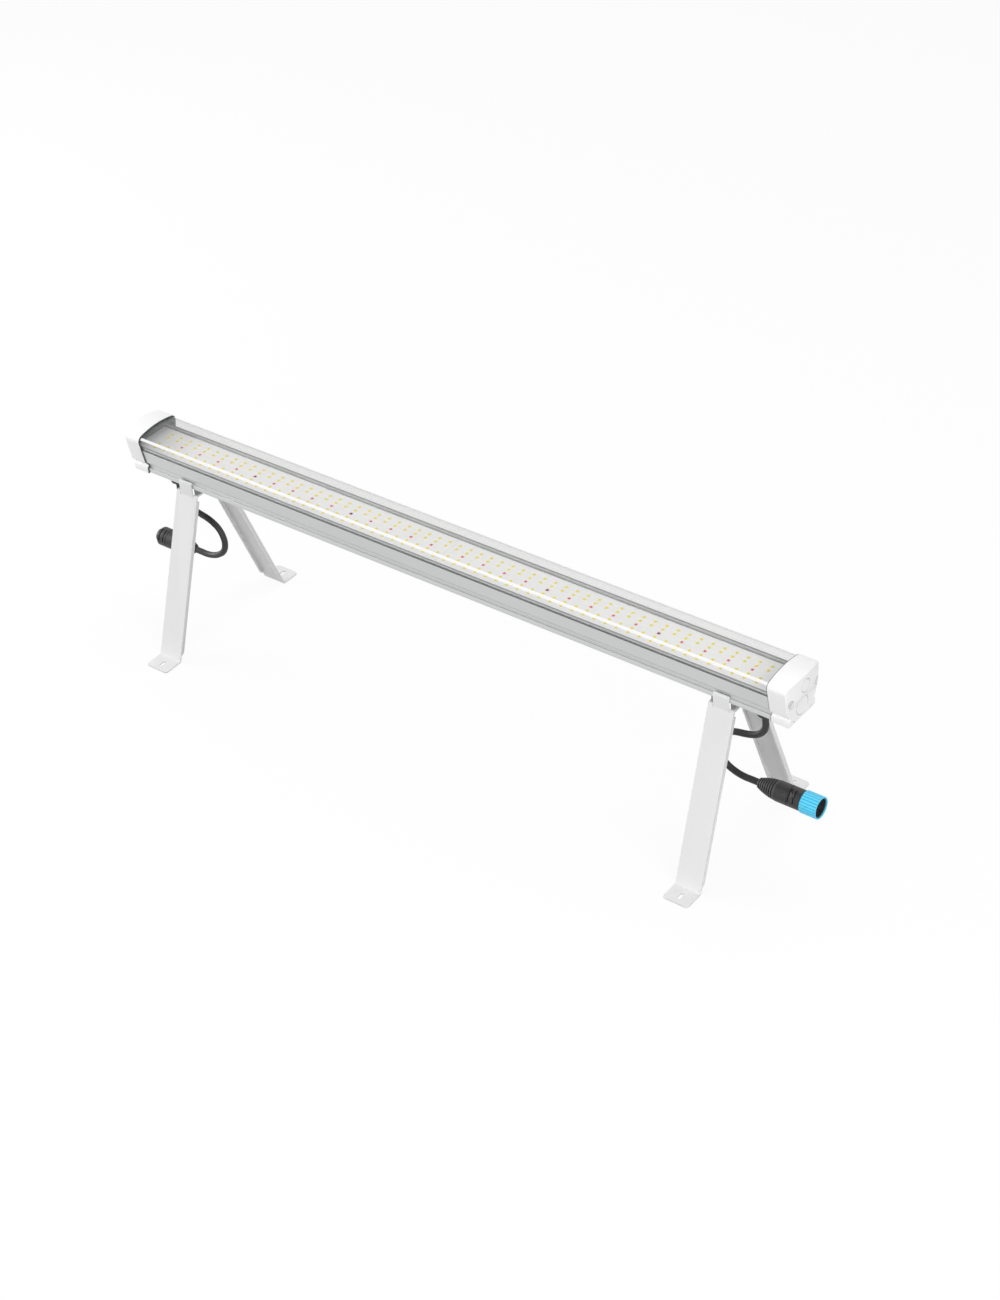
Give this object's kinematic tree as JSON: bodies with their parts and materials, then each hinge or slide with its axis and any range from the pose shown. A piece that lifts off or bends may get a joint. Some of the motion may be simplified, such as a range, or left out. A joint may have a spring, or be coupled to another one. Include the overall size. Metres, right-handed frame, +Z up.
{
  "type": "light bar",
  "caption": "Linear LED light bar with a clear crowned lens and white end caps on two bent-sheet clip-on stands, with a short cord and a round connector at each end.",
  "frame": {"origin": "on the ground, midway between the two stands and midway between their feet", "axes": "+X along the bar, towards the end with the socket and its locking ring; +Y across the bar, towards the rear feet; +Z up"},
  "size_m": [1.1727, 0.299, 0.3263],
  "materials": {
    "extrusion": "satin anodised",
    "clear_lens": "clear polycarbonate, gloss",
    "board_white": "white solder mask",
    "thermal_tape": "matt",
    "led_phosphor": "yellow silicone fill",
    "led_red": "clear fill over red chips",
    "led_deep_red": "clear fill over deep red chips",
    "cap_white": "moulded, fine satin",
    "seal_grey": "matt silicone",
    "screw_steel": "zinc plated",
    "driver_metal": "plain sheet",
    "board_green": "green solder mask",
    "winding": "taped winding",
    "capacitor": "sleeved can",
    "terminal": "moulded nylon",
    "wire": "insulated wire",
    "nylon_black": "moulded nylon",
    "rubber_black": "matt jacket",
    "contact_brass": "plated",
    "ring_cyan": "moulded, fine satin",
    "stand_white": "white powder coat"
  },
  "bodies": {
    "bar": {"housing": "extrusion", "lens_cover": "clear_lens", "board_left": "board_white", "board_right": "board_white", "tape_left": "thermal_tape", "tape_right": "thermal_tape", "white_leds_left": "led_phosphor", "white_leds_right": "led_phosphor", "red_leds": "led_red", "deep_red_leds": "led_deep_red", "end_cap_left": "cap_white", "end_cap_right": "cap_white", "cap_seal_left": "seal_grey", "cap_seal_right": "seal_grey", "cap_screws": "screw_steel", "driver_pads": "seal_grey", "driver_case": "driver_metal", "driver_lid": "driver_metal", "driver_board": "board_green", "driver_transformer": "winding", "driver_capacitors": "capacitor", "terminal_block_left": "terminal", "terminal_block_right": "terminal", "through_wires": "wire", "driver_feed": "wire", "dc_leads": "wire", "earth_screw": "screw_steel", "earth_lead": "wire", "gland_body_left": "nylon_black", "gland_body_right": "nylon_black", "gland_nut_left": "nylon_black", "gland_nut_right": "nylon_black", "gland_seals": "seal_grey", "gland_washers": "seal_grey", "gland_locknuts": "nylon_black", "lead_left": "rubber_black", "lead_right": "rubber_black", "cord_left": "rubber_black", "cord_right": "rubber_black", "plug_boot": "rubber_black", "plug_body": "nylon_black", "plug_insert": "nylon_black", "plug_pins": "contact_brass", "socket_boot": "rubber_black", "socket_body": "nylon_black", "socket_insert": "nylon_black", "socket_contacts": "contact_brass"},
    "stand_left": {"stand_left": "stand_white", "rest_pad_left": "seal_grey"},
    "stand_right": {"stand_right": "stand_white", "rest_pad_right": "seal_grey"},
    "locking_ring": {"locking_ring": "ring_cyan"}
  },
  "joints": [
    {"name": "stand_left_slide", "type": "slide", "parent": "bar", "child": "stand_left", "axis": [1, 0, 0], "range_m": [-0.011, 0.443]},
    {"name": "stand_right_slide", "type": "slide", "parent": "bar", "child": "stand_right", "axis": [1, 0, 0], "range_m": [-0.443, 0.011]},
    {"name": "locking_ring_turn", "type": "hinge", "parent": "bar", "child": "locking_ring", "pos_m": [0.585, 0, 0.116], "axis": [1, 0, 0], "range_deg": [0, 60]}
  ]
}
